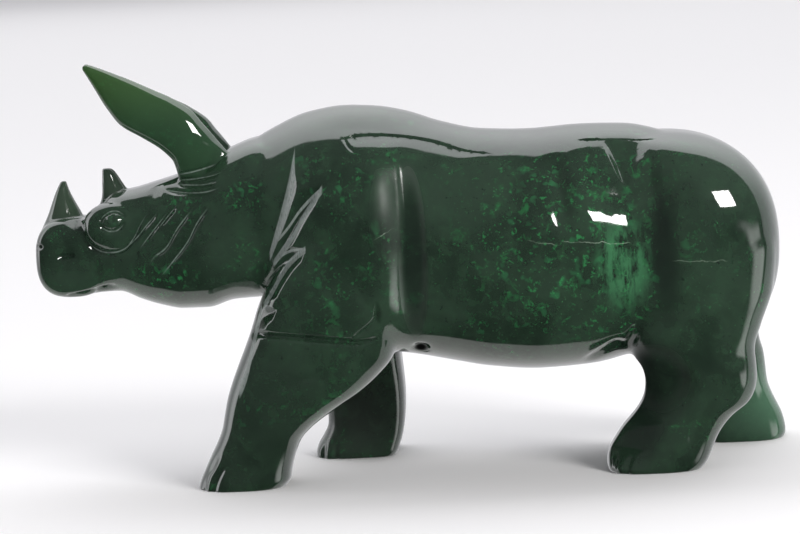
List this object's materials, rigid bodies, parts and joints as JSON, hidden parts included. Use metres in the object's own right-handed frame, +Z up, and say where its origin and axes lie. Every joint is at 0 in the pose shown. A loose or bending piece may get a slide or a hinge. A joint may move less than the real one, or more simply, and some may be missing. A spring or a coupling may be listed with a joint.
{
  "type": "rhinoceros figurine",
  "caption": "Small walking rhinoceros carved from dark green jade, with horns on nose and brow, long swept-forward ears, shoulder and hip plates, ribs and flat soles.",
  "frame": {"origin": "middle of the box, at the level of the soles", "axes": "+Z up from the soles, -X towards the nose, -Y towards the animal's left side"},
  "size_m": [0.125, 0.0426, 0.0697],
  "materials": {
    "jade": "Dark green nephrite jade, high polish, with brighter green flecks and a few fine pale crack lines."
  },
  "bodies": {
    "root": {"rhinoceros": "jade"}
  },
  "joints": []
}
